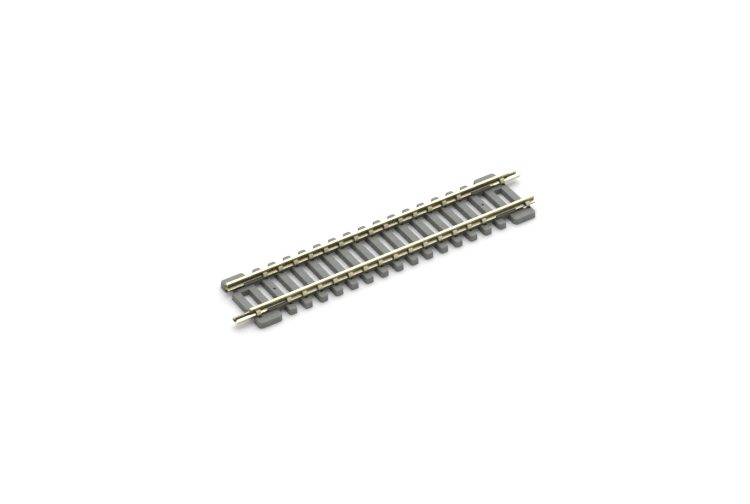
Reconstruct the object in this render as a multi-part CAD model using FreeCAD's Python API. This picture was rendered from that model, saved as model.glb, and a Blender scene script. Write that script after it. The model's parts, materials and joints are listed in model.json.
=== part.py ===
import FreeCAD, Part
import itertools
import os
from FreeCAD import Vector

# A straight section of model railway track: two solid metal rails held by the moulded
# chairs of a one-piece plastic sleeper base, with a folded sheet joiner on one end of
# each rail. Millimetres. X runs along the track, Y across it, Z up. The origin is the
# middle of the underside. The base looks the same after half a turn about Z, and the rails
# lie in it a little further out at the right end.

# Rails
GAUGE = 9.16             # clear width between the two rail heads
LEFT_OVERHANG = 1.14     # rail end past the centre line of the end sleeper
RIGHT_OVERHANG = 2.44
RAIL_HEIGHT = 1.68
HEAD_WIDTH = 0.72
HEAD_DEPTH = 0.42        # straight side of the head
HEAD_UNDERCUT = 0.1      # rise of the slope from head side to web
HEAD_ROUNDING = 0.12
WEB_WIDTH = 0.42
FOOT_WIDTH = 1.4
FOOT_EDGE = 0.25         # foot thickness at its edge
FOOT_ROOT = 0.40         # foot thickness at the web

# Sleeper base
SLEEPER_COUNT = 19
SLEEPER_PITCH = 3.84
SLEEPER_LENGTH = 16.1    # at the top
SLEEPER_WIDTH = 1.80     # at the top
SLEEPER_HEIGHT = 1.40
DRAFT = 0.055            # side slope, sideways over up
SLEEPER_ROUNDING = 0.45  # upright corners of the sleepers
PAD_ROUNDING = 0.8       # upright outer corners of the pads outside the rail ends
SEAT_RISE = 0.05         # height of the rail seat above the sleeper top
SEAT_MARGIN = 0.06       # seat beyond the foot on each side
STRINGER_WIDTH = 1.4     # web that links the sleepers under each rail
STRINGER_DEPTH = 0.65
END_PLATE_REACH = 2.2    # from rail centre towards the middle of the track
PAD_OVERHANG = 0.45      # end pads beyond the line of the sleeper ends
NOTCH_LENGTH = 1.5       # open end of the base under each rail end
NOTCH_WIDENING = 0.5     # towards the middle, at the rail ends without a joiner

# Chairs that hold the rail foot
CHAIR_WIDTH = 1.0
CHAIR_OFFSET = 0.34      # chair centre from sleeper centre, along the track
CHAIR_WALL = 0.17        # beside the foot
CHAIR_CROWN = 0.54       # below the rail top, at the outer edge of the crown
CHAIR_SHOULDER = 1.12    # below the rail top, where the outer face turns upright
CROWN_INSET = 0.2        # crown edge inside the outer face
HEAD_GAP = 0.12          # between chair and the underside of the head
RAIL_FIT = 0.02          # clearance of the chairs around the foot and web
POCKET_WIDTH = 0.8       # moulding pocket at the foot of each chair
POCKET_LENGTH = 0.5
POCKET_DEPTH = 0.6

# Ledges that take the place of chairs near the ends
LEDGE_WALL = 0.35
LEDGE_RISE = 0.1         # above the foot's edge
LEDGE_LIP = 0.3          # over the foot
LEDGE_GAP = 0.53         # from the ledges to the nearer joiner

# Track pin holes
PIN_HOLE_RADIUS = 0.3
PIN_HOLE_SLEEPER = 2     # counted from each end sleeper

# Rail joiners
JOINER_LENGTH = 7.2
JOINER_SHEET = 0.2
JOINER_FIT = 0.03        # clearance around the foot
JOINER_SLOT = 0.76       # gap between the two lips
LEFT_REACH = 3.9         # length beyond the rail end
RIGHT_REACH = 2.8
JOINER_CLEARANCE = 0.06  # between joiner and sleeper base
LEAD_IN = 0.35           # cut across the ends of the lips

RAIL_SPACING = GAUGE + HEAD_WIDTH
SEAT_TOP = SLEEPER_HEIGHT + SEAT_RISE
RAIL_TOP = SEAT_TOP + RAIL_HEIGHT
FOOT_HALF = FOOT_WIDTH / 2
WEB_HALF = WEB_WIDTH / 2
HEAD_HALF = HEAD_WIDTH / 2
HEAD_UNDERSIDE = RAIL_HEIGHT - HEAD_DEPTH
FOOT_SLOPE = (FOOT_ROOT - FOOT_EDGE) / (FOOT_HALF - WEB_HALF)
LAST = SLEEPER_COUNT - 1
END_SLEEPER_X = LAST / 2 * SLEEPER_PITCH
SLEEPER_HALF = SLEEPER_WIDTH / 2
RAIL_START = -END_SLEEPER_X - LEFT_OVERHANG
RAIL_STOP = END_SLEEPER_X + RIGHT_OVERHANG
JOINER_HALF = FOOT_HALF + JOINER_FIT + JOINER_SHEET
JOINER_ROOM = JOINER_HALF + JOINER_CLEARANCE
JOINER_INNER_END = END_SLEEPER_X - JOINER_LENGTH + min(LEFT_OVERHANG + LEFT_REACH,
                                                       RIGHT_OVERHANG + RIGHT_REACH)
LEDGE_END = JOINER_INNER_END - LEDGE_GAP


def sleeper_x(index):
    """Centre of a sleeper, counted from the left end."""
    return (index - LAST / 2) * SLEEPER_PITCH


def face_across(points, x):
    """Flat face at x from a closed outline of (y, z) points."""
    corners = [Vector(x, y, z) for y, z in points]
    return Part.Face(Part.makePolygon(corners + corners[:1]))


def bar(points, x_from, x_to):
    """Straight bar along the track with the given outline across it."""
    return face_across(points, x_from).extrude(Vector(x_to - x_from, 0, 0))


def both_sides(half):
    """Closed outline from its right half, which runs from the lowest point up."""
    return half + [(-y, z) for y, z in reversed(half)]


def placed(points, y, z):
    return [(y + point_y, z + point_z) for point_y, point_z in points]


def drafted_block(x_from, x_to, y_from, y_to, height):
    """Block on the ground plane that narrows upward; the sizes given are its top."""
    spread = DRAFT * height
    low = [Vector(x_from - spread, y_from - spread, 0), Vector(x_to + spread, y_from - spread, 0),
           Vector(x_to + spread, y_to + spread, 0), Vector(x_from - spread, y_to + spread, 0)]
    high = [Vector(x_from, y_from, height), Vector(x_to, y_from, height),
            Vector(x_to, y_to, height), Vector(x_from, y_to, height)]
    rings = [low, high]
    for near in range(4):
        far = (near + 1) % 4
        rings.append([low[near], low[far], high[far], high[near]])
    faces = [Part.Face(Part.makePolygon(ring + ring[:1])) for ring in rings]
    return Part.makeSolid(Part.makeShell(faces))


def round_upright_edges(block, radius, keep):
    """Round the upright corner edges whose middle passes the test."""
    edges = []
    for edge in block.Edges:
        ends = [vertex.Point for vertex in edge.Vertexes]
        if abs(ends[0].z - ends[1].z) > SLEEPER_HEIGHT / 2 and keep(edge.CenterOfMass):
            edges.append(edge)
    return block.makeFillet(radius, edges)


# --- Rails --------------------------------------------------------------------------------

def rail(y):
    """Flat-bottomed rail standing on its seats, its foot centred on y."""
    half = [(FOOT_HALF, 0), (FOOT_HALF, FOOT_EDGE), (WEB_HALF, FOOT_ROOT),
            (WEB_HALF, HEAD_UNDERSIDE - HEAD_UNDERCUT), (HEAD_HALF, HEAD_UNDERSIDE),
            (HEAD_HALF, RAIL_HEIGHT)]
    body = bar(placed(both_sides(half), y, SEAT_TOP), RAIL_START, RAIL_STOP)
    crown = [edge for edge in body.Edges
             if edge.Length > RAIL_STOP and edge.CenterOfMass.z > RAIL_TOP - HEAD_ROUNDING]
    return body.makeFillet(HEAD_ROUNDING, crown)


def rail_space(y):
    """What the rail and its working clearance take out of the plastic."""
    half = [(FOOT_HALF + RAIL_FIT, 0), (FOOT_HALF + RAIL_FIT, FOOT_EDGE + RAIL_FIT),
            (WEB_HALF + RAIL_FIT, FOOT_ROOT + RAIL_FIT), (WEB_HALF + RAIL_FIT, RAIL_HEIGHT)]
    return bar(placed(both_sides(half), y, SEAT_TOP), RAIL_START, RAIL_STOP)


# --- Joiners ------------------------------------------------------------------------------

def lip_height(y):
    """Upper face of the joiner's lip above the rail seat, parallel to the foot."""
    return FOOT_EDGE + (FOOT_HALF - y) * FOOT_SLOPE + JOINER_FIT + JOINER_SHEET


def joiner(y, x_from):
    """Sheet folded round the rail foot: floor, two sides and two lips over the foot."""
    inside = JOINER_HALF - JOINER_SHEET
    slot_half = JOINER_SLOT / 2
    half = [(JOINER_HALF, -JOINER_FIT - JOINER_SHEET), (JOINER_HALF, lip_height(JOINER_HALF)),
            (slot_half, lip_height(slot_half)), (slot_half, lip_height(slot_half) - JOINER_SHEET),
            (inside, lip_height(inside) - JOINER_SHEET), (inside, -JOINER_FIT)]
    x_to = x_from + JOINER_LENGTH
    body = bar(placed(both_sides(half), y, SEAT_TOP), x_from, x_to)
    folds = [edge for edge in body.Edges
             if edge.Length > JOINER_LENGTH / 2 and edge.CenterOfMass.z < SEAT_TOP - JOINER_FIT
             and abs(edge.CenterOfMass.y - y) > inside + JOINER_SHEET / 2]
    body = body.makeFillet(JOINER_SHEET / 2, folds)
    for x_end, inward in ((x_from, 1), (x_to, -1)):
        for side in (1, -1):
            corner = [Vector(x_end, y + side * slot_half, 0),
                      Vector(x_end + inward * LEAD_IN, y + side * slot_half, 0),
                      Vector(x_end, y + side * (slot_half + LEAD_IN), 0)]
            cut = Part.Face(Part.makePolygon(corner + corner[:1])).extrude(Vector(0, 0, RAIL_HEIGHT))
            cut.translate(Vector(0, 0, SEAT_TOP))
            body = body.cut(cut)
    return body


def joiner_space(y, side):
    """Room for a joiner on the rail end at the given side, clear of base and chairs."""
    floor = -JOINER_FIT - JOINER_SHEET - JOINER_CLEARANCE
    half = [(JOINER_ROOM, floor), (JOINER_ROOM, lip_height(JOINER_ROOM) + JOINER_CLEARANCE),
            (WEB_HALF + RAIL_FIT, lip_height(WEB_HALF) + JOINER_CLEARANCE),
            (WEB_HALF + RAIL_FIT, RAIL_HEIGHT)]
    outer = END_SLEEPER_X + JOINER_LENGTH
    return bar(placed(both_sides(half), y, SEAT_TOP), side * LEDGE_END, side * outer)


# --- Sleeper base -------------------------------------------------------------------------

def sleeper(index):
    """One sleeper. The last one at each end stops at the notches, the next inside the plates."""
    x = sleeper_x(index)
    from_end = min(index, LAST - index)
    front = rear = SLEEPER_LENGTH / 2
    if from_end == 1:
        front = rear = RAIL_SPACING / 2
    if from_end == 0:
        front = rear = RAIL_SPACING / 2 - JOINER_ROOM
    if index == 0:
        rear -= NOTCH_WIDENING
    if index == LAST:
        front -= NOTCH_WIDENING
    block = drafted_block(x - SLEEPER_HALF, x + SLEEPER_HALF, -front, rear, SLEEPER_HEIGHT)
    if from_end == 1:
        return block
    return round_upright_edges(block, SLEEPER_ROUNDING,
                               lambda middle: from_end > 1 or abs(middle.x) > END_SLEEPER_X)


def end_block(side, across, inset, y_near, y_far):
    """Block over the last two sleepers beside one rail, stopping short of the base's end."""
    x_outer = END_SLEEPER_X + SLEEPER_HALF - inset
    x_inner = END_SLEEPER_X - SLEEPER_PITCH - SLEEPER_HALF
    x_range = sorted((side * x_outer, side * x_inner))
    y_range = sorted((across * y_near, across * y_far))
    return drafted_block(*x_range, *y_range, SLEEPER_HEIGHT)


def end_plate(side, across):
    """Plate under one rail that fills the gap between the last two sleepers."""
    return end_block(side, across, NOTCH_LENGTH, RAIL_SPACING / 2 - END_PLATE_REACH,
                     (RAIL_SPACING + SLEEPER_LENGTH) / 4)


def end_pad(side, across):
    """Pad outside one rail end, with large round corners on its outer side."""
    y_near = RAIL_SPACING / 2 + JOINER_ROOM
    y_far = SLEEPER_LENGTH / 2 + PAD_OVERHANG
    pad = end_block(side, across, 0, y_near, y_far)
    return round_upright_edges(pad, PAD_ROUNDING,
                               lambda middle: abs(middle.y) > (y_near + y_far) / 2)


def seat(index, y):
    """Raised flat that the rail foot stands on."""
    x = sleeper_x(index)
    half = FOOT_HALF + SEAT_MARGIN
    return Part.makeBox(SLEEPER_WIDTH, 2 * half, SEAT_RISE,
                        Vector(x - SLEEPER_HALF, y - half, SLEEPER_HEIGHT))


def stringer(y):
    """Web that links all the sleepers under one rail."""
    half = STRINGER_WIDTH / 2
    low = SLEEPER_HEIGHT - STRINGER_DEPTH
    reach = END_SLEEPER_X - SLEEPER_HALF
    return Part.makeBox(2 * reach, STRINGER_WIDTH, STRINGER_DEPTH, Vector(-reach, y - half, low))


def chair(x, y, facing, outer):
    """Clip over the foot on one side of a rail; outer is its reach from the rail centre."""
    below_head = RAIL_TOP - HEAD_DEPTH - HEAD_GAP
    profile = [(0, SLEEPER_HEIGHT), (outer, SLEEPER_HEIGHT), (outer, RAIL_TOP - CHAIR_SHOULDER),
               (outer - CROWN_INSET, RAIL_TOP - CHAIR_CROWN), (0, below_head)]
    outline = [(y + facing * point_y, z) for point_y, z in profile]
    return bar(outline, x - CHAIR_WIDTH / 2, x + CHAIR_WIDTH / 2)


def pocket(x, y, facing, outer):
    """Small moulding pocket in the sleeper top against the outer face of a chair."""
    near = y + facing * outer
    far = near + facing * POCKET_LENGTH
    return Part.makeBox(POCKET_WIDTH, abs(far - near), POCKET_DEPTH + SEAT_RISE,
                        Vector(x - POCKET_WIDTH / 2, min(near, far), SLEEPER_HEIGHT - POCKET_DEPTH))


def ledge(y, facing, side):
    """Low strip that grips one side of the foot near a rail end in place of chairs."""
    third_x = side * (END_SLEEPER_X - 2 * SLEEPER_PITCH)
    x_from, x_to = sorted((side * LEDGE_END, third_x + facing * (CHAIR_WIDTH / 2 - CHAIR_OFFSET)))
    outer = FOOT_HALF + RAIL_FIT + LEDGE_WALL
    inner = FOOT_HALF - LEDGE_LIP
    low = SLEEPER_HEIGHT - STRINGER_DEPTH
    top = SEAT_TOP + FOOT_EDGE + RAIL_FIT + LEDGE_RISE
    top_inner = top + LEDGE_LIP * FOOT_SLOPE
    profile = [(inner, low), (outer, low), (outer, top), (inner, top_inner)]
    outline = [(y + facing * point_y, z) for point_y, z in profile]
    return bar(outline, x_from, x_to)


def chair_sites():
    """Every chair as (sleeper, rail, facing, at rail end).

    Rail and facing are +1 or -1 along Y. Ledges take the place of the chairs on the second
    sleeper from each end, and of those on the third where the ledge runs over it. A rail end
    without a joiner has no chair on the inner side of its end sleeper.
    """
    sites = []
    for index, across, facing in itertools.product(range(SLEEPER_COUNT), (1, -1), (1, -1)):
        from_end = min(index, LAST - index)
        side = 1 if index > LAST / 2 else -1
        under_ledge = from_end == 1 or (from_end == 2 and side == -facing)
        left_open = from_end == 0 and facing == -across and side != across
        if not under_ledge and not left_open:
            sites.append((index, across, facing, from_end == 0))
    return sites


def sleeper_base():
    rail_ys = [-RAIL_SPACING / 2, RAIL_SPACING / 2]
    solids = [sleeper(index) for index in range(SLEEPER_COUNT)]
    for side, across in itertools.product((1, -1), (1, -1)):
        solids += [end_plate(side, across), end_pad(side, across)]
    solids += [stringer(y) for y in rail_ys]
    solids += [seat(index, y) for index in range(SLEEPER_COUNT) for y in rail_ys]

    cuts = [rail_space(y) for y in rail_ys]
    cuts += [joiner_space(y, side) for y in rail_ys for side in (1, -1)]
    for index, across, facing, at_end in chair_sites():
        x = sleeper_x(index) - facing * CHAIR_OFFSET
        y = across * RAIL_SPACING / 2
        reach = JOINER_ROOM if at_end else FOOT_HALF + RAIL_FIT
        solids.append(chair(x, y, facing, reach + CHAIR_WALL))
        cuts.append(pocket(x, y, facing, reach + CHAIR_WALL))

    for y, facing, side in itertools.product(rail_ys, (1, -1), (1, -1)):
        solids.append(ledge(y, facing, side))

    for side in (1, -1):
        x = side * (END_SLEEPER_X - PIN_HOLE_SLEEPER * SLEEPER_PITCH)
        cuts.append(Part.makeCylinder(PIN_HOLE_RADIUS, SLEEPER_HEIGHT, Vector(x, 0, 0)))

    base = solids[0].multiFuse(solids[1:]).removeSplitter()
    return base.cut(cuts).removeSplitter()


left_start = RAIL_START - LEFT_REACH
right_start = RAIL_STOP + RIGHT_REACH - JOINER_LENGTH
pieces = {
    "sleeper_base": sleeper_base(),
    "front_rail": rail(-RAIL_SPACING / 2),
    "rear_rail": rail(RAIL_SPACING / 2),
    "front_left_joiner": joiner(-RAIL_SPACING / 2, left_start),
    "rear_right_joiner": joiner(RAIL_SPACING / 2, right_start),
}

os.makedirs("parts", exist_ok=True)
for name, shape in pieces.items():
    solids = shape.Solids
    box = shape.BoundBox
    print(name, "solids", len(solids), "valid", shape.isValid(), "volume", round(shape.Volume, 3),
          "size", round(box.XLength, 3), round(box.YLength, 3), round(box.ZLength, 3))
    shape.exportStep("parts/" + name + ".step")
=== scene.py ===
# %% [markdown]
# A straight section of model railway track: two drawn metal rails stand in the chairs of a
# one-piece plastic sleeper moulding, and a folded sheet joiner grips one end of each rail.
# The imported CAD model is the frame.

# %% Load the frame
import itertools
import json
import math

import bmesh
import bpy
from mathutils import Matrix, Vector

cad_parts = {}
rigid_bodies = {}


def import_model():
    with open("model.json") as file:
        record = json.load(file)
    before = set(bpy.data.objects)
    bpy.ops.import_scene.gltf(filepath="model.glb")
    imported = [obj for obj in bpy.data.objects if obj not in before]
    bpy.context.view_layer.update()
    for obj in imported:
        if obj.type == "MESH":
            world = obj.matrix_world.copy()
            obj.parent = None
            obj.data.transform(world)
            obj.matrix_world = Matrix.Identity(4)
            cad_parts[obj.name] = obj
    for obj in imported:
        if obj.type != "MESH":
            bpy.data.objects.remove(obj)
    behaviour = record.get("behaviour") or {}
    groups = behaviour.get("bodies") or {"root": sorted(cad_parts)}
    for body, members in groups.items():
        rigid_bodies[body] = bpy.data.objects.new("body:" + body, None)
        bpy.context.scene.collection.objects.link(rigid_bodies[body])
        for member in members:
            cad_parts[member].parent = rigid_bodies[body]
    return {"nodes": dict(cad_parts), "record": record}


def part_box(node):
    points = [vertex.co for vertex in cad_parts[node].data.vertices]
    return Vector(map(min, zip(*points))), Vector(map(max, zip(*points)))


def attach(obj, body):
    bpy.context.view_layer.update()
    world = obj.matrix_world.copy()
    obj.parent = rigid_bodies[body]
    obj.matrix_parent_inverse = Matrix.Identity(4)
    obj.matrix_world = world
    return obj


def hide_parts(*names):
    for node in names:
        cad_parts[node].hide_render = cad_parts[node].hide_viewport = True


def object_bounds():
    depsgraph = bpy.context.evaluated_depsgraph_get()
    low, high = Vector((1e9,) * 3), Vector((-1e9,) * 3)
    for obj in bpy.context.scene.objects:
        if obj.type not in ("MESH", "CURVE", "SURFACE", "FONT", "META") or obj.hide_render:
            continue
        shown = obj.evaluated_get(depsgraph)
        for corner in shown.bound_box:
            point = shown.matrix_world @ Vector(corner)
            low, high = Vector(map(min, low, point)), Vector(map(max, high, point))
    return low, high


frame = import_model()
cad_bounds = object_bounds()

MM = 0.001

# %% [markdown]
# The camera stands to the front left and looks down on the track. The track is only 80 mm
# long, so a long lens from over half a metre keeps its far end nearly as large as its near end.

# %% Camera
AZIMUTH = math.radians(32.7)
ELEVATION = math.radians(38.88)
CAMERA_DISTANCE = 619.7 * MM
CAMERA_LENS = 137.3
AIM_POINT = Vector((-1.96, -0.84, 1.11)) * MM


def add_camera():
    back = Vector((-math.sin(AZIMUTH) * math.cos(ELEVATION),
                   -math.cos(AZIMUTH) * math.cos(ELEVATION),
                   math.sin(ELEVATION)))
    data = bpy.data.cameras.new("camera")
    data.lens = CAMERA_LENS
    data.sensor_width = 36
    camera = bpy.data.objects.new("camera", data)
    bpy.context.scene.collection.objects.link(camera)
    camera.location = AIM_POINT + back * CAMERA_DISTANCE
    camera.rotation_euler = back.to_track_quat("Z", "Y").to_euler()
    bpy.context.scene.camera = camera
    print("camera at", [round(value, 3) for value in camera.location])


add_camera()

# %% [markdown]
# A small bright thing is best lit by one wide softbox. Here it hangs above and a little
# behind the track, so the rail heads mirror it and the faces towards the camera stay darker.
# The floor is a plain pale sheet that only catches the soft shadows. It lies a hair below the
# track, so that the two never share a plane.

# %% Floor and light
FLOOR_GAP = 0.01 * MM


def new_material(name):
    """Material with a Principled shader, and that shader."""
    material = bpy.data.materials.new(name)
    material.use_nodes = True
    return material, material.node_tree.nodes["Principled BSDF"]


def add_floor(half):
    level = cad_bounds[0][2] - FLOOR_GAP
    mesh = bpy.data.meshes.new("floor")
    corners = [(-half, -half, level), (half, -half, level), (half, half, level), (-half, half, level)]
    mesh.from_pydata(corners, [], [(0, 1, 2, 3)])
    floor = bpy.data.objects.new("floor", mesh)
    bpy.context.scene.collection.objects.link(floor)
    material, shader = new_material("floor_sheet")
    shader.inputs["Base Color"].default_value = (0.80, 0.80, 0.81, 1)
    shader.inputs["Roughness"].default_value = 0.9
    shader.inputs["Specular IOR Level"].default_value = 0.1
    mesh.materials.append(material)


def add_softbox(name, location, size, power):
    data = bpy.data.lights.new(name, "AREA")
    data.shape = "SQUARE"
    data.size = size
    data.energy = power
    light = bpy.data.objects.new(name, data)
    light.location = location
    light.rotation_euler = Vector(location).to_track_quat("Z", "Y").to_euler()
    bpy.context.scene.collection.objects.link(light)


def add_world(strength):
    world = bpy.data.worlds.new("studio")
    world.use_nodes = True
    background = world.node_tree.nodes["Background"]
    background.inputs["Color"].default_value = (1, 1, 1, 1)
    background.inputs["Strength"].default_value = strength
    bpy.context.scene.world = world


add_floor(2.0)
add_softbox("softbox", (0.40, 0.46, 0.76), 1.3, 12.5)
add_world(0.72)
bpy.context.scene.view_settings.view_transform = "Standard"

# %% [markdown]
# Three effects are used by more than one finish, so each is a shader node group that gives
# out only a mask or a height. Grain is the fine mottle of a moulded or drawn surface. Rubbed
# edges finds the arrises, where handling polishes plastic and metal alike: it compares the
# true normal with one rounded over a small radius. Height band picks a layer of the track,
# such as the chairs or the rail foot.

# %% Node helpers
def add_node(tree, kind, **settings):
    node = tree.nodes.new(kind)
    for name, value in settings.items():
        setattr(node, name, value)
    return node


def fill(tree, socket, value):
    """Link a socket to another, or give it a plain value."""
    if isinstance(value, bpy.types.NodeSocket):
        tree.links.new(value, socket)
    else:
        socket.default_value = value


def add_math(tree, operation, first, second=0.0):
    node = add_node(tree, "ShaderNodeMath", operation=operation)
    fill(tree, node.inputs[0], first)
    fill(tree, node.inputs[1], second)
    return node.outputs[0]


def add_ramp(tree, value, low, high):
    """Smooth step from 0 at low to 1 at high."""
    node = add_node(tree, "ShaderNodeMapRange", interpolation_type="SMOOTHSTEP")
    fill(tree, node.inputs["Value"], value)
    fill(tree, node.inputs["From Min"], low)
    fill(tree, node.inputs["From Max"], high)
    return node.outputs["Result"]


def new_group(name, kind, inputs, outputs):
    """Node group with named sockets; inputs are (name, socket type, default)."""
    tree = bpy.data.node_groups.new(name, kind)
    for label, socket_type, default in inputs:
        socket = tree.interface.new_socket(label, in_out="INPUT", socket_type=socket_type)
        if default is not None:
            socket.default_value = default
    for label, socket_type in outputs:
        tree.interface.new_socket(label, in_out="OUTPUT", socket_type=socket_type)
    return tree, tree.nodes.new("NodeGroupInput").outputs, tree.nodes.new("NodeGroupOutput").inputs


# %% Shared effects
def grain_group():
    tree, given, result = new_group(
        "grain", "ShaderNodeTree",
        [("Vector", "NodeSocketVector", None), ("Scale", "NodeSocketFloat", 1000.0),
         ("Contrast", "NodeSocketFloat", 1.0)],
        [("Mask", "NodeSocketFloat"), ("Height", "NodeSocketFloat")])
    heights = []
    for detail, scale_share in ((2.0, 1.0), (4.0, 0.18)):
        noise = add_node(tree, "ShaderNodeTexNoise")
        fill(tree, noise.inputs["Vector"], given["Vector"])
        fill(tree, noise.inputs["Scale"], add_math(tree, "MULTIPLY", given["Scale"], scale_share))
        noise.inputs["Detail"].default_value = detail
        heights.append(noise.outputs["Fac"])
    mixed = add_math(tree, "MULTIPLY", add_math(tree, "ADD", heights[0], heights[1]), 0.5)
    spread = add_math(tree, "MULTIPLY", add_math(tree, "SUBTRACT", mixed, 0.5), given["Contrast"])
    clamped = add_node(tree, "ShaderNodeClamp")
    fill(tree, clamped.inputs["Value"], add_math(tree, "ADD", spread, 0.5))
    fill(tree, result["Mask"], clamped.outputs[0])
    fill(tree, result["Height"], heights[0])
    return tree


def rubbed_edges_group():
    tree, given, result = new_group(
        "rubbed_edges", "ShaderNodeTree",
        [("Radius", "NodeSocketFloat", 0.1 * MM), ("Patchiness", "NodeSocketFloat", 0.5)],
        [("Mask", "NodeSocketFloat")])
    bevel = add_node(tree, "ShaderNodeBevel", samples=6)
    fill(tree, bevel.inputs["Radius"], given["Radius"])
    geometry = add_node(tree, "ShaderNodeNewGeometry")
    alignment = add_node(tree, "ShaderNodeVectorMath", operation="DOT_PRODUCT")
    fill(tree, alignment.inputs[0], bevel.outputs[0])
    fill(tree, alignment.inputs[1], geometry.outputs["Normal"])
    arris = add_ramp(tree, add_math(tree, "SUBTRACT", 1.0, alignment.outputs["Value"]), 0.01, 0.22)
    noise = add_node(tree, "ShaderNodeTexNoise")
    noise.inputs["Scale"].default_value = 900.0
    place = add_node(tree, "ShaderNodeTexCoord")
    fill(tree, noise.inputs["Vector"], place.outputs["Object"])
    patches = add_math(tree, "MULTIPLY", noise.outputs["Fac"], given["Patchiness"])
    fill(tree, result["Mask"], add_math(tree, "MULTIPLY", arris, add_math(tree, "SUBTRACT", 1.0, patches)))
    return tree


def height_band_group():
    tree, given, result = new_group(
        "height_band", "ShaderNodeTree",
        [("Vector", "NodeSocketVector", None), ("Low", "NodeSocketFloat", 0.0),
         ("High", "NodeSocketFloat", 1.0), ("Softness", "NodeSocketFloat", 0.04 * MM)],
        [("Mask", "NodeSocketFloat")])
    parts = add_node(tree, "ShaderNodeSeparateXYZ")
    fill(tree, parts.inputs[0], given["Vector"])
    height = parts.outputs["Z"]
    rise = add_ramp(tree, height, add_math(tree, "SUBTRACT", given["Low"], given["Softness"]), given["Low"])
    fall = add_ramp(tree, height, given["High"], add_math(tree, "ADD", given["High"], given["Softness"]))
    fill(tree, result["Mask"], add_math(tree, "MULTIPLY", rise, add_math(tree, "SUBTRACT", 1.0, fall)))
    return tree


grain, rubbed_edges, height_band = grain_group(), rubbed_edges_group(), height_band_group()
print("shared effects", grain.name, rubbed_edges.name, height_band.name)

# %% Placing effects in a material
def add_effect(tree, group, **values):
    """A group in a material, its inputs filled by name; gives back its outputs."""
    node = add_node(tree, "ShaderNodeGroup", node_tree=group)
    for name, value in values.items():
        fill(tree, node.inputs[name], value)
    return node.outputs


def add_mix(tree, factor, first, second):
    """Mix of two colours; a colour is an RGB triple or a socket."""
    node = add_node(tree, "ShaderNodeMix", data_type="RGBA")
    fill(tree, node.inputs["Factor"], factor)
    for socket, value in ((node.inputs["A"], first), (node.inputs["B"], second)):
        fill(tree, socket, value if isinstance(value, bpy.types.NodeSocket) else (*value, 1))
    return node.outputs["Result"]


def object_place(tree, stretch=(1, 1, 1)):
    """Object coordinates, scaled along each axis to stretch a pattern."""
    place = add_node(tree, "ShaderNodeTexCoord")
    mapping = add_node(tree, "ShaderNodeMapping")
    mapping.inputs["Scale"].default_value = stretch
    fill(tree, mapping.inputs["Vector"], place.outputs["Object"])
    return mapping.outputs[0]


def add_bump(tree, shader, height, distance, strength):
    bump = add_node(tree, "ShaderNodeBump")
    bump.inputs["Strength"].default_value = strength
    bump.inputs["Distance"].default_value = distance
    fill(tree, bump.inputs["Height"], height)
    fill(tree, shader.inputs["Normal"], bump.outputs[0])


# %% [markdown]
# All heights in the track stack up from the ground: sleeper top, rail seat, rail foot, chair
# crown, rail head. The finishes and the shapes below both need them, so they come first,
# worked out from the boxes of the two rails in the frame.

# %% Levels and lines of the track
rail_low, rail_high = (Vector(corner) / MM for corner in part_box("front_rail"))
rear_low, rear_high = (Vector(corner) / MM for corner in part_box("rear_rail"))
RAIL_START, RAIL_STOP = rail_low.x, rail_high.x
RAIL_TOP, SEAT_TOP = rail_high.z, rail_low.z
RAIL_Y = (rear_low.y + rear_high.y) / 2
SEAT_RISE = 0.05
SLEEPER_TOP = SEAT_TOP - SEAT_RISE
FOOT_EDGE = 0.25
FOOT_ROOT = 0.40
WEB_HALF = 0.21
print("rail", round(RAIL_START, 2), "to", round(RAIL_STOP, 2), "mm, top", round(RAIL_TOP, 2),
      "seat", round(SEAT_TOP, 2), "rail lines at y", round(RAIL_Y, 2), "mm")

# %% [markdown]
# The sleepers are a dark grey plastic with a fine matt grain. It is made from two colours
# mixed by the grain, a little paler on the arrises. Painted shade darkens the plastic towards
# each rail line, where the rail shades it. The chairs are grey plastic painted pale with a warm
# tint: a painted highlight on their lit crowns and a painted reflection of the rail metal. Their
# shapes carry a value that marks them, and the highlight fades in above the rail foot.

# %% Sleeper plastic
# Reach of the painted shade beside each rail line, in millimetres.
PAINTED_SHADE_NEAR = 1.0         # full strength up to this far from a rail line
PAINTED_SHADE_FAR = 2.4
# Height at which the painted highlight on the chairs begins.
HIGHLIGHT_RISE = 0.35         # above the rail seat


# Painted shade: the plastic is darkened beside each rail line, where the rail casts its shade.
def rail_painted_shade(tree, place):
    """1 beside the rail lines, falling to 0 further off."""
    parts = add_node(tree, "ShaderNodeSeparateXYZ")
    fill(tree, parts.inputs[0], place)
    off_centre = add_math(tree, "ABSOLUTE", parts.outputs["Y"])
    from_rail = add_math(tree, "ABSOLUTE", add_math(tree, "SUBTRACT", off_centre, RAIL_Y * MM))
    room = add_math(tree, "SUBTRACT", PAINTED_SHADE_FAR * MM, from_rail)
    fade = add_math(tree, "DIVIDE", room, (PAINTED_SHADE_FAR - PAINTED_SHADE_NEAR) * MM)
    return add_math(tree, "MINIMUM", add_math(tree, "MAXIMUM", fade, 0.0), 1.0)


# Mask for a painted highlight and a painted reflection of the rail metal on the grey chair crowns.
def chair_painted_highlight(tree, place):
    """1 on the raised part of the chairs, 0 elsewhere."""
    marked = add_node(tree, "ShaderNodeAttribute", attribute_name="painted_highlight_mark")
    raised = add_effect(tree, height_band, Vector=place, Low=(SEAT_TOP + HIGHLIGHT_RISE) * MM,
                        High=RAIL_TOP * MM, Softness=0.3 * MM)["Mask"]
    return add_math(tree, "MULTIPLY", marked.outputs["Fac"], raised)


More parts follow.
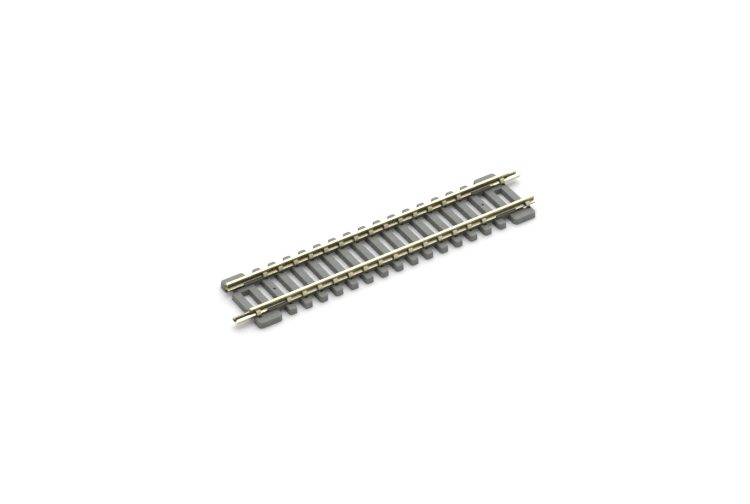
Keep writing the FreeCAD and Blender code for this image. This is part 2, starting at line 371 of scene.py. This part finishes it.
def plastic_finish():
    material, shader = new_material("sleeper_plastic")
    tree = material.node_tree
    place = object_place(tree)
    mottle = add_effect(tree, grain, Vector=place, Scale=5200.0, Contrast=2.2)
    arris = add_effect(tree, rubbed_edges, Radius=0.09 * MM, Patchiness=0.8)["Mask"]
    painted_shade, chair_highlight = rail_painted_shade(tree, place), chair_painted_highlight(tree, place)
    color = add_mix(tree, mottle["Mask"], (0.105, 0.110, 0.098), (0.220, 0.225, 0.204))
    color = add_mix(tree, add_math(tree, "MULTIPLY", arris, 0.35), color, (0.36, 0.36, 0.33))
    # Painted shade darkens the plastic beside the rails.
    color = add_mix(tree, add_math(tree, "MULTIPLY", painted_shade, 0.75), color, (0.050, 0.046, 0.032))
    # Painted highlight and painted reflection: the chair crowns are painted a pale warm colour.
    color = add_mix(tree, add_math(tree, "MULTIPLY", chair_highlight, 0.8), color, (0.80, 0.74, 0.46))
    fill(tree, shader.inputs["Base Color"], color)
    roughness = add_math(tree, "ADD", add_math(tree, "MULTIPLY", mottle["Mask"], 0.18), 0.48)
    fill(tree, shader.inputs["Roughness"], roughness)
    add_bump(tree, shader, mottle["Height"], 0.02 * MM, 0.5)
    return material


# %% [markdown]
# Rail is drawn nickel silver. Wheels and track rubbers keep the head bright, and a painted
# highlight also lightens the top of the head's side. The foot's upper face carries a painted
# highlight where it catches the light, and the web between them is painted shade: a dull olive
# brown for the dark plastic and the shade under the head that it mirrors.
# Drawing leaves fine lines along the rail, so the grain is stretched along X.

# %% Rail and joiner metal
def metal_finish(name, bright, shaded_dull, bands, roughness):
    """Bright metal inside the height bands, which are (low, high, softness, strength)."""
    material, shader = new_material(name)
    tree = material.node_tree
    place = object_place(tree)
    lines = add_effect(tree, grain, Vector=object_place(tree, (0.02, 1, 1)), Scale=9000.0, Contrast=1.6)
    patches = add_effect(tree, grain, Vector=place, Scale=1400.0, Contrast=2.5)
    # Polish and painted highlight: inside the bands the colour is lightened; outside them the dull colour
    # is painted shade on the rail web.
    polish_and_highlight = 0.0
    for low, high, softness, strength in bands:
        band = add_effect(tree, height_band, Vector=place, Low=low * MM, High=high * MM,
                          Softness=softness * MM)["Mask"]
        polish_and_highlight = add_math(tree, "MAXIMUM", add_math(tree, "MULTIPLY", band, strength), polish_and_highlight)
    arris = add_effect(tree, rubbed_edges, Radius=0.05 * MM, Patchiness=0.6)["Mask"]
    shaded_with_patches = add_mix(tree, patches["Mask"], shaded_dull, [0.62 * value for value in shaded_dull])
    fresh = add_mix(tree, lines["Mask"], bright, [0.86 * value for value in bright])
    color = add_mix(tree, polish_and_highlight, shaded_with_patches, fresh)
    color = add_mix(tree, add_math(tree, "MULTIPLY", arris, 0.25), color, bright)
    fill(tree, shader.inputs["Base Color"], color)
    shader.inputs["Metallic"].default_value = 1.0
    tarnish = add_math(tree, "MULTIPLY", add_math(tree, "SUBTRACT", 1.0, polish_and_highlight), 0.25)
    streaks = add_math(tree, "MULTIPLY", lines["Mask"], 0.12)
    base_roughness = add_math(tree, "ADD", streaks, roughness)
    fill(tree, shader.inputs["Roughness"], add_math(tree, "ADD", base_roughness, tarnish))
    add_bump(tree, shader, lines["Height"], 0.004 * MM, 0.35)
    return material


BRIGHT_METAL = (0.64, 0.61, 0.46)
# Painted highlight: the head band reaches down the top of the head's side, and the foot band lies on the
# foot's lit upper face.
head_band = (RAIL_TOP - 0.22, RAIL_TOP + 1, 0.40, 0.72)
foot_highlight_band = (SEAT_TOP + 0.235, SEAT_TOP + FOOT_ROOT + 0.06, 0.04, 0.75)
plastic = plastic_finish()
rail_metal = metal_finish("rail_metal", BRIGHT_METAL, (0.27, 0.24, 0.10), (head_band, foot_highlight_band), 0.22)
joiner_metal = metal_finish("joiner_metal", (0.60, 0.57, 0.42), (0.30, 0.27, 0.16),
                            ((SEAT_TOP - 1, SEAT_TOP + 2, 0.05, 1.0),), 0.25)
print("finishes", plastic.name, rail_metal.name, joiner_metal.name)

# %% [markdown]
# Small mesh helpers. A block of the moulding has drafted sides, so that it leaves the mould,
# rounded upright corners and a rounded top edge. It is a stack of closed loops, bridged with
# faces. A bar is one outline pushed along the track, with its edges rounded afterwards.

# %% Mesh helpers
CORNER_STEPS = 6
EDGE_STEPS = 3
TOP_EDGE = 0.15
DRAFT = 0.055


def rounded_rectangle(x_range, y_range, radii, grow):
    """Closed loop round a rectangle, its four corners rounded one by one."""
    loop = []
    for turn, (side_x, side_y) in enumerate(((1, 1), (-1, 1), (-1, -1), (1, -1))):
        centre_x = x_range[side_x > 0] - side_x * radii[turn]
        centre_y = y_range[side_y > 0] - side_y * radii[turn]
        for step in range(CORNER_STEPS + 1):
            angle = (turn + step / CORNER_STEPS) * math.pi / 2
            loop.append((centre_x + (radii[turn] + grow) * math.cos(angle),
                         centre_y + (radii[turn] + grow) * math.sin(angle)))
    return loop


def stack_loops(levels):
    """Closed mesh through loops of equal length; levels are (height, loop) from the bottom."""
    bm = bmesh.new()
    rings = [[bm.verts.new((x, y, height)) for x, y in loop] for height, loop in levels]
    for low, high in zip(rings, rings[1:]):
        for near in range(len(low)):
            far = (near + 1) % len(low)
            bm.faces.new((low[near], low[far], high[far], high[near]))
    bm.faces.new(list(reversed(rings[0])))
    bm.faces.new(rings[-1])
    return bm


def moulded_block(x_range, y_range, radii, top=SLEEPER_TOP):
    levels = [(0, rounded_rectangle(x_range, y_range, radii, DRAFT * top))]
    for step in range(EDGE_STEPS + 1):
        angle = step / EDGE_STEPS * math.pi / 2
        height = top - TOP_EDGE * (1 - math.sin(angle))
        inset = TOP_EDGE * (1 - math.cos(angle))
        levels.append((height, rounded_rectangle(x_range, y_range, radii, -inset)))
    return stack_loops(levels)


def bar_along(outline, x_range, rounding):
    """Closed outline of (y, z) points pushed along X, with all its edges rounded."""
    bm = bmesh.new()
    near = [bm.verts.new((x_range[0], y, z)) for y, z in outline]
    far = [bm.verts.new((x_range[1], y, z)) for y, z in outline]
    bm.faces.new(near)
    bm.faces.new(list(reversed(far)))
    for index in range(len(outline)):
        after = (index + 1) % len(outline)
        bm.faces.new((near[after], near[index], far[index], far[after]))
    bmesh.ops.recalc_face_normals(bm, faces=bm.faces)
    if rounding:
        bmesh.ops.bevel(bm, geom=bm.edges[:], offset=rounding, segments=2, profile=0.5, affect="EDGES")
    return bm


def box_mesh(x_range, y_range, z_range):
    (y_low, y_high), (z_low, z_high) = sorted(y_range), z_range
    return bar_along([(y_low, z_low), (y_high, z_low), (y_high, z_high), (y_low, z_high)],
                     sorted(x_range), 0)


def mesh_object(name, bm, collection):
    """Turn a mesh measured in millimetres into an object in metres."""
    bmesh.ops.scale(bm, vec=(MM, MM, MM), verts=bm.verts)
    bmesh.ops.recalc_face_normals(bm, faces=bm.faces)
    mesh = bpy.data.meshes.new(name)
    bm.to_mesh(mesh)
    bm.free()
    made = bpy.data.objects.new(name, mesh)
    collection.objects.link(made)
    return made


def new_collection(name):
    collection = bpy.data.collections.new(name)
    bpy.context.scene.collection.children.link(collection)
    return collection


# %% [markdown]
# The sleeper base is one moulding, and most of it repeats: sleepers at an even pitch, and
# chairs that grip the rail foot from both sides. Only the two ends differ, where plates and
# pads join the last two sleepers and low ledges replace the chairs, which leaves room for
# the joiners. So the plan is to make each repeated shape once, let Geometry Nodes set the
# copies out along the track, and fuse everything into one closed mesh.

# %% Repeated parts of the moulding
SLEEPER_COUNT = 19
PITCH = 3.84
SLEEPER_HALF = 0.90
SLEEPER_REACH = 8.05
PAD_REACH = 8.50
END_X = (SLEEPER_COUNT - 1) / 2 * PITCH
FOOT_HALF = (rail_high.y - rail_low.y) / 2
RAIL_FIT = 0.02
JOINER_ROOM = FOOT_HALF + 0.29
CHAIR_WALL = 0.17
CHAIR_OUTER = FOOT_HALF + RAIL_FIT + CHAIR_WALL
END_CHAIR_OUTER = JOINER_ROOM + CHAIR_WALL
CHAIR_HALF = 0.5
CHAIR_OFFSET = 0.34
CHAIR_SHOULDER = 1.12    # below the rail top
CHAIR_CROWN = 0.54       # below the rail top
CROWN_INSET = 0.2
POCKET_HALF = 0.4
POCKET_LENGTH = 0.5
POCKET_DEPTH = 0.6
SLEEPER_ROUNDING = 0.45
SEAT_MARGIN = 0.06
SEAT_INSET = 0.02        # inset and drop keep the seat's faces out of the planes they meet
SEAT_DROP = 0.002
SINK = 0.1               # how far a shape reaches into the one below it before they are fused
CLEAR = 1                # how far a cutter stands out of what it cuts

templates = new_collection("templates")


def chair_bar(outer):
    """Clip over the foot: an upright outer face and a flat crown just under the rail head."""
    low, crown = SLEEPER_TOP - SINK, RAIL_TOP - CHAIR_CROWN
    outline = [(0, low), (outer, low), (outer, RAIL_TOP - CHAIR_SHOULDER),
               (outer - CROWN_INSET, crown), (0, crown)]
    return bar_along(outline, (-CHAIR_OFFSET - CHAIR_HALF, -CHAIR_OFFSET + CHAIR_HALF), 0.07)


def pocket_box(outer):
    return box_mesh((-CHAIR_OFFSET - POCKET_HALF, -CHAIR_OFFSET + POCKET_HALF),
                    (outer, outer + POCKET_LENGTH), (SLEEPER_TOP - POCKET_DEPTH, SLEEPER_TOP + CLEAR))


sleeper_block = moulded_block((-SLEEPER_HALF, SLEEPER_HALF), (-SLEEPER_REACH, SLEEPER_REACH),
                              [SLEEPER_ROUNDING] * 4)
seat_box = box_mesh((-SLEEPER_HALF + SEAT_INSET, SLEEPER_HALF - SEAT_INSET),
                    (-FOOT_HALF - SEAT_MARGIN, FOOT_HALF + SEAT_MARGIN),
                    (SLEEPER_TOP - SINK, SEAT_TOP - SEAT_DROP))
sleeper = mesh_object("sleeper", sleeper_block, templates)
seat = mesh_object("seat", seat_box, templates)
chair = mesh_object("chair", chair_bar(CHAIR_OUTER), templates)
end_chair = mesh_object("end_chair", chair_bar(END_CHAIR_OUTER), templates)
# The chairs carry a mark that places their painted highlight.
for clip in (chair, end_chair):
    painted_highlight_mark = clip.data.attributes.new("painted_highlight_mark", "FLOAT", "POINT")
    painted_highlight_mark.data.foreach_set("value", [1.0] * len(clip.data.vertices))
pocket = mesh_object("pocket", pocket_box(CHAIR_OUTER), templates)
end_pocket = mesh_object("end_pocket", pocket_box(END_CHAIR_OUTER), templates)

# %% [markdown]
# Each copy needs a place and, for the chairs, a half turn on the other side of the rail. A
# mark is a loose vertex with that turn stored on it. Chairs are left out where a ledge takes
# over near the ends, and on the inner side of a rail end that has no joiner.

# %% Marks for the copies
def marks(name, sites):
    """Loose vertices at (x, y, turn) sites."""
    mesh = bpy.data.meshes.new(name)
    mesh.from_pydata([(x * MM, y * MM, 0) for x, y, _ in sites], [], [])
    turns = mesh.attributes.new("turn", "FLOAT", "POINT")
    for index, (_, _, turn) in enumerate(sites):
        turns.data[index].value = turn
    made = bpy.data.objects.new(name, mesh)
    templates.objects.link(made)
    return made


def chair_sites():
    """Chairs along the track, and those on the end sleepers, as lists of sites."""
    middle, ends = [], []
    for index, across, facing in itertools.product(range(SLEEPER_COUNT), (1, -1), (1, -1)):
        from_end = min(index, SLEEPER_COUNT - 1 - index)
        side = 1 if index > (SLEEPER_COUNT - 1) / 2 else -1
        under_ledge = from_end == 1 or (from_end == 2 and side == -facing)
        left_open = from_end == 0 and facing == -across and side != across
        if not under_ledge and not left_open:
            site = (index * PITCH - END_X, across * RAIL_Y, 0 if facing > 0 else math.pi)
            (ends if from_end == 0 else middle).append(site)
    return middle, ends


middle_sites, end_sites = chair_sites()
seat_sites = [(index * PITCH - END_X, across * RAIL_Y, 0)
              for index, across in itertools.product(range(1, SLEEPER_COUNT - 1), (1, -1))]
chair_marks = marks("chair_marks", middle_sites)
end_chair_marks = marks("end_chair_marks", end_sites)
seat_marks = marks("seat_marks", seat_sites)
print("chairs", len(middle_sites), "end chairs", len(end_sites), "seats", len(seat_sites))

# %% [markdown]
# The single shapes: at each end a last sleeper between the notches, the sleeper beside it,
# a plate under each rail and a pad with big round corners outside it. A stringer under each
# rail ties the sleepers together. What the rails, joiners and track pins need is cut out.

# %% Single parts of the moulding
solids = new_collection("moulding_solids")
cutters = new_collection("moulding_cutters")
SMALL_ROUNDING = 0.18
PAD_ROUNDING = 0.8
NOTCH = 1.5
NOTCH_WIDENING = 0.5     # where there is no joiner
PLATE_REACH = 2.2        # from the rail line towards the middle of the track
PLATE_LAP = 0.5          # of the plates into the pads
STRINGER_HALF = 0.7
STRINGER_END = END_X - 1.2
STRINGER_DROP = 0.004
STRINGER_LOW = SLEEPER_TOP - 0.65
LEDGE_GAP = 0.53         # from the ledges to the joiner
LEDGE_TOP = SEAT_TOP + 0.37
LEDGE_INNER = FOOT_HALF - 0.3
LEDGE_OUTER = FOOT_HALF + 0.37
RING_STEPS = 24
RAIL_CUT_END = END_X + 4
JOINER_CUT_END = END_X + 9
joiner_corner = Vector(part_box("front_left_joiner")[1]) / MM
joiner_high = joiner_corner.z
LEDGE_END = -joiner_corner.x - LEDGE_GAP


def end_frame(side):
    """Solids of one end of the base."""
    outer, inner = END_X + SLEEPER_HALF, END_X - PITCH - SLEEPER_HALF
    last = sorted((side * outer, side * (outer - 2 * SLEEPER_HALF)))
    big, small = SLEEPER_ROUNDING, SMALL_ROUNDING
    radii = [big, small, small, big] if side > 0 else [small, big, big, small]
    joined = RAIL_Y - JOINER_ROOM
    reach = sorted((side * joined, -side * (joined - NOTCH_WIDENING)))
    mesh_object("last_sleeper", moulded_block(last, reach, radii), solids)
    second = sorted((side * inner, side * (inner + 2 * SLEEPER_HALF)))
    mesh_object("second_sleeper", moulded_block(second, (-RAIL_Y, RAIL_Y), [small] * 4), solids)
    for across in (1, -1):
        plate = sorted((side * (outer - NOTCH), side * inner))
        reach = sorted((across * (RAIL_Y - PLATE_REACH), across * (RAIL_Y + JOINER_ROOM + PLATE_LAP)))
        mesh_object("end_plate", moulded_block(plate, reach, [small] * 4), solids)
        pad = sorted((side * outer, side * inner))
        width = sorted((across * (RAIL_Y + JOINER_ROOM), across * PAD_REACH))
        outer_radii, inner_radii = [PAD_ROUNDING] * 2, [small] * 2
        radii = outer_radii + inner_radii if across > 0 else inner_radii + outer_radii
        mesh_object("end_pad", moulded_block(pad, width, radii), solids)


def ledge(across, facing, side):
    """Low strip beside the foot, from near the joiner to the first chair."""
    third_x = side * (END_X - 2 * PITCH)
    x_range = sorted((side * LEDGE_END, third_x + facing * (CHAIR_HALF - CHAIR_OFFSET)))
    outline = [(LEDGE_INNER, STRINGER_LOW), (LEDGE_OUTER, STRINGER_LOW),
               (LEDGE_OUTER, LEDGE_TOP), (LEDGE_INNER, LEDGE_TOP + 0.09)]
    placed = [(across * RAIL_Y + facing * y, z) for y, z in outline]
    mesh_object("ledge", bar_along(placed, x_range, 0.06), solids)


def rail_cutters(across):
    """Room for the rail itself, and for a joiner at each of its ends."""
    def room(half, x_range):
        outline = half + [(-y, z) for y, z in reversed(half)]
        placed = [(across * RAIL_Y + y, z) for y, z in outline]
        mesh_object("rail_room", bar_along(placed, sorted(x_range), 0), cutters)

    foot, web = FOOT_HALF + RAIL_FIT, WEB_HALF + RAIL_FIT
    room([(foot, SEAT_TOP), (foot, SEAT_TOP + FOOT_EDGE + RAIL_FIT),
          (web, SEAT_TOP + FOOT_ROOT + RAIL_FIT), (web, RAIL_TOP + CLEAR)],
         (-RAIL_CUT_END, RAIL_CUT_END))
    for side in (1, -1):
        room([(JOINER_ROOM, SEAT_TOP - 0.29), (JOINER_ROOM, joiner_high - 0.02),
              (web, joiner_high + 0.1), (web, RAIL_TOP + CLEAR)],
             (side * LEDGE_END, side * JOINER_CUT_END))


for side in (1, -1):
    end_frame(side)
for across in (1, -1):
    strip = (across * RAIL_Y - STRINGER_HALF, across * RAIL_Y + STRINGER_HALF)
    mesh_object("stringer", box_mesh((-STRINGER_END, STRINGER_END), strip,
                                     (STRINGER_LOW, SLEEPER_TOP - STRINGER_DROP)), solids)
    rail_cutters(across)
for across, facing, side in itertools.product((1, -1), (1, -1), (1, -1)):
    ledge(across, facing, side)
for mount in frame["record"]["mounts"]:
    if mount["kind"] == "bore":
        centre = Vector(mount["pos_m"]) / MM
        radius = mount["dims"]["r_mm"]
        angles = [step / RING_STEPS * math.tau for step in range(RING_STEPS)]
        ring = [(centre.x + radius * math.cos(angle), radius * math.sin(angle)) for angle in angles]
        mesh_object("pin_hole", stack_loops([(-CLEAR, ring), (SLEEPER_TOP + CLEAR, ring)]), cutters)

# %% [markdown]
# The Geometry Nodes tree sets out sleepers by count and pitch, places the chairs, seats and
# pockets on their marks, adds the single solids, fuses them all and then takes the cutters
# away. Count and pitch are named inputs, and another set of marks makes another section.

# %% The moulding tree
def geo_node(tree, kind, links=(), **settings):
    node = add_node(tree, kind, **settings)
    for name, value in links:
        fill(tree, node.inputs[name], value)
    return node


def copies_on(tree, points, piece):
    """Instances of a piece on every mark, turned about Z by the mark's own turn."""
    source = geo_node(tree, "GeometryNodeObjectInfo", [("Object", piece)])
    turn = geo_node(tree, "GeometryNodeInputNamedAttribute", [("Name", "turn")], data_type="FLOAT")
    rotation = geo_node(tree, "ShaderNodeCombineXYZ", [("Z", turn.outputs["Attribute"])])
    placed = geo_node(tree, "GeometryNodeInstanceOnPoints",
                      [("Points", points), ("Instance", source.outputs["Geometry"]),
                       ("Rotation", rotation.outputs[0])])
    return placed.outputs["Instances"]


def copies_on_object(tree, mark_object, piece):
    points = geo_node(tree, "GeometryNodeObjectInfo", [("Object", mark_object)])
    return copies_on(tree, points.outputs["Geometry"], piece)


def moulding_tree():
    thing, group = "NodeSocketObject", "NodeSocketCollection"
    tree, given, result = new_group(
        "sleeper_moulding", "GeometryNodeTree",
        [("Geometry", "NodeSocketGeometry", None), ("Sleeper count", "NodeSocketInt", 3),
         ("Pitch", "NodeSocketFloat", 0.01), ("Sleeper", thing, None), ("Seat", thing, None),
         ("Seat marks", thing, None), ("Chair", thing, None), ("Pocket", thing, None),
         ("Chair marks", thing, None), ("End chair", thing, None), ("End pocket", thing, None),
         ("End chair marks", thing, None), ("Solids", group, None), ("Cutters", group, None),
         ("Material", "NodeSocketMaterial", None)],
        [("Geometry", "NodeSocketGeometry")])
    gaps = geo_node(tree, "ShaderNodeMath", [(0, given["Sleeper count"]), (1, 1.0)], operation="SUBTRACT")
    length = geo_node(tree, "ShaderNodeMath", [(0, gaps.outputs[0]), (1, given["Pitch"])],
                      operation="MULTIPLY")
    start = geo_node(tree, "ShaderNodeMath", [(0, length.outputs[0]), (1, -0.5)], operation="MULTIPLY")
    first = geo_node(tree, "ShaderNodeCombineXYZ", [("X", start.outputs[0])])
    step = geo_node(tree, "ShaderNodeCombineXYZ", [("X", given["Pitch"])])
    line = geo_node(tree, "GeometryNodeMeshLine",
                    [("Count", given["Sleeper count"]), ("Start Location", first.outputs[0]),
                     ("Offset", step.outputs[0])])
    parts = [copies_on(tree, line.outputs["Mesh"], given["Sleeper"]),
             copies_on_object(tree, given["Seat marks"], given["Seat"]),
             copies_on_object(tree, given["Chair marks"], given["Chair"]),
             copies_on_object(tree, given["End chair marks"], given["End chair"])]
    holes = [copies_on_object(tree, given["Chair marks"], given["Pocket"]),
             copies_on_object(tree, given["End chair marks"], given["End pocket"])]
    for name, stack in (("Solids", parts), ("Cutters", holes)):
        info = geo_node(tree, "GeometryNodeCollectionInfo",
                        [("Collection", given[name]), ("Separate Children", True)])
        stack.append(info.outputs["Instances"])
    fused = add_node(tree, "GeometryNodeMeshBoolean", operation="UNION", solver="MANIFOLD")
    for part in parts:
        tree.links.new(part, fused.inputs["Mesh 2"])
    cut = add_node(tree, "GeometryNodeMeshBoolean", operation="DIFFERENCE", solver="MANIFOLD")
    tree.links.new(fused.outputs["Mesh"], cut.inputs["Mesh 1"])
    for hole in holes:
        tree.links.new(hole, cut.inputs["Mesh 2"])
    real = geo_node(tree, "GeometryNodeRealizeInstances", [("Geometry", cut.outputs["Mesh"])])
    finished = geo_node(tree, "GeometryNodeSetMaterial",
                        [("Geometry", real.outputs[0]), ("Material", given["Material"])])
    fill(tree, result["Geometry"], finished.outputs[0])
    return tree


# %% Running a tree
def run_tree(name, tree, material, **values):
    """Make a plain mesh object from a tree and its named inputs."""
    scratch = bpy.data.objects.new(name + "_scratch", bpy.data.meshes.new(name + "_scratch"))
    bpy.context.scene.collection.objects.link(scratch)
    modifier = scratch.modifiers.new(name, "NODES")
    modifier.node_group = tree
    sockets = {item.name: item.identifier for item in tree.interface.items_tree if item.in_out == "INPUT"}
    for label, value in {"Material": material, **values}.items():
        modifier[sockets[label]] = value
    graph = bpy.context.evaluated_depsgraph_get()
    mesh = bpy.data.meshes.new_from_object(scratch.evaluated_get(graph))
    bpy.data.objects.remove(scratch)
    mesh.name = name
    if not mesh.materials:
        mesh.materials.append(material)
    made = bpy.data.objects.new(name, mesh)
    bpy.context.scene.collection.objects.link(made)
    print(name, "faces", len(mesh.polygons), "attributes", [item.name for item in mesh.attributes])
    return made


moulding = run_tree("sleeper_moulding", moulding_tree(), plastic, **{
    "Sleeper count": SLEEPER_COUNT - 4, "Pitch": PITCH * MM, "Sleeper": sleeper, "Seat": seat,
    "Seat marks": seat_marks, "Chair": chair, "Pocket": pocket, "Chair marks": chair_marks,
    "End chair": end_chair, "End pocket": end_pocket, "End chair marks": end_chair_marks,
    "Solids": solids, "Cutters": cutters})
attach(moulding, "track")
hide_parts("sleeper_base")

# %% Clear the templates
for collection in (templates, solids, cutters):
    for piece in list(collection.objects):
        bpy.data.objects.remove(piece)
    bpy.data.collections.remove(collection)

# %% [markdown]
# A rail is one cross-section all the way along, so it is a sweep: a closed profile curve run
# along a straight line, with the ends capped. A drawn rail has no sharp inside corners. The
# foot and the head flow into the web through small fillets, and every outer corner is eased.

# %% Rail profile
ARC_STEPS = 4
HEAD_HALF = 0.36
HEAD_SIDE = 0.42


def rounded_outline(corners):
    """Closed outline from (y, z, radius) corners, each one replaced by an arc."""
    points = []
    for index, (y, z, radius) in enumerate(corners):
        corner = Vector((y, z))
        back = (Vector(corners[index - 1][:2]) - corner).normalized()
        ahead = (Vector(corners[(index + 1) % len(corners)][:2]) - corner).normalized()
        half = back.angle(ahead) / 2
        centre = corner + (back + ahead).normalized() * (radius / math.sin(half))
        start = corner + back * (radius / math.tan(half)) - centre
        stop = corner + ahead * (radius / math.tan(half)) - centre
        for step in range(ARC_STEPS + 1):
            points.append(centre + start.lerp(stop, step / ARC_STEPS).normalized() * radius)
    return points


def rail_corners():
    height = RAIL_TOP - SEAT_TOP
    right = [(FOOT_HALF, 0, 0.04), (FOOT_HALF, FOOT_EDGE, 0.07), (WEB_HALF, FOOT_ROOT, 0.14),
             (WEB_HALF, height - HEAD_SIDE - 0.1, 0.10), (HEAD_HALF, height - HEAD_SIDE, 0.05),
             (HEAD_HALF, height, 0.12)]
    return right + [(-y, z, radius) for y, z, radius in reversed(right)]


def profile_curve(name, outline, centre_y, base_z):
    """Closed curve for a sweep along X, which turns a profile's X and Y into -Y and -Z."""
    data = bpy.data.curves.new(name, "CURVE")
    data.dimensions = "3D"
    spline = data.splines.new("POLY")
    spline.points.add(len(outline) - 1)
    for point, place in zip(spline.points, outline):
        point.co = (-(centre_y + place.x) * MM, -(base_z + place.y) * MM, 0, 1)
    spline.use_cyclic_u = True
    made = bpy.data.objects.new(name, data)
    bpy.context.scene.collection.objects.link(made)
    return made


# %% Sweep tree and rails
def sweep_tree():
    tree, given, result = new_group(
        "swept_bar", "GeometryNodeTree",
        [("Geometry", "NodeSocketGeometry", None), ("Profile", "NodeSocketObject", None),
         ("Start", "NodeSocketFloat", 0.0), ("Stop", "NodeSocketFloat", 1.0),
         ("Material", "NodeSocketMaterial", None)],
        [("Geometry", "NodeSocketGeometry")])
    ends = [geo_node(tree, "ShaderNodeCombineXYZ", [("X", given[name])]) for name in ("Start", "Stop")]
    line = geo_node(tree, "GeometryNodeCurvePrimitiveLine",
                    [("Start", ends[0].outputs[0]), ("End", ends[1].outputs[0])])
    profile = geo_node(tree, "GeometryNodeObjectInfo", [("Object", given["Profile"])])
    swept = geo_node(tree, "GeometryNodeCurveToMesh",
                     [("Curve", line.outputs[0]), ("Profile Curve", profile.outputs["Geometry"]),
                      ("Fill Caps", True)])
    real = geo_node(tree, "GeometryNodeRealizeInstances", [("Geometry", swept.outputs[0])])
    finished = geo_node(tree, "GeometryNodeSetMaterial",
                        [("Geometry", real.outputs[0]), ("Material", given["Material"])])
    fill(tree, result["Geometry"], finished.outputs[0])
    return tree


def smooth_curves(piece, limit=40):
    """Smooth shading that stays crisp where faces meet at more than the limit in degrees."""
    piece.data.shade_smooth()
    piece.data.set_sharp_from_angle(angle=math.radians(limit))


bar_tree = sweep_tree()
for name, across in (("front_rail", -1), ("rear_rail", 1)):
    profile = profile_curve(name + "_profile", rounded_outline(rail_corners()), across * RAIL_Y, SEAT_TOP)
    bar = run_tree(name + "_drawn", bar_tree, rail_metal,
                   Profile=profile, Start=RAIL_START * MM, Stop=RAIL_STOP * MM)
    bpy.data.objects.remove(profile)
    smooth_curves(bar)
    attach(bar, "track")
    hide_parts(name)

# %% Finish on the joiners
for name in ("front_left_joiner", "rear_right_joiner"):
    node = frame["nodes"][name]
    node.data.materials.clear()
    node.data.materials.append(joiner_metal)
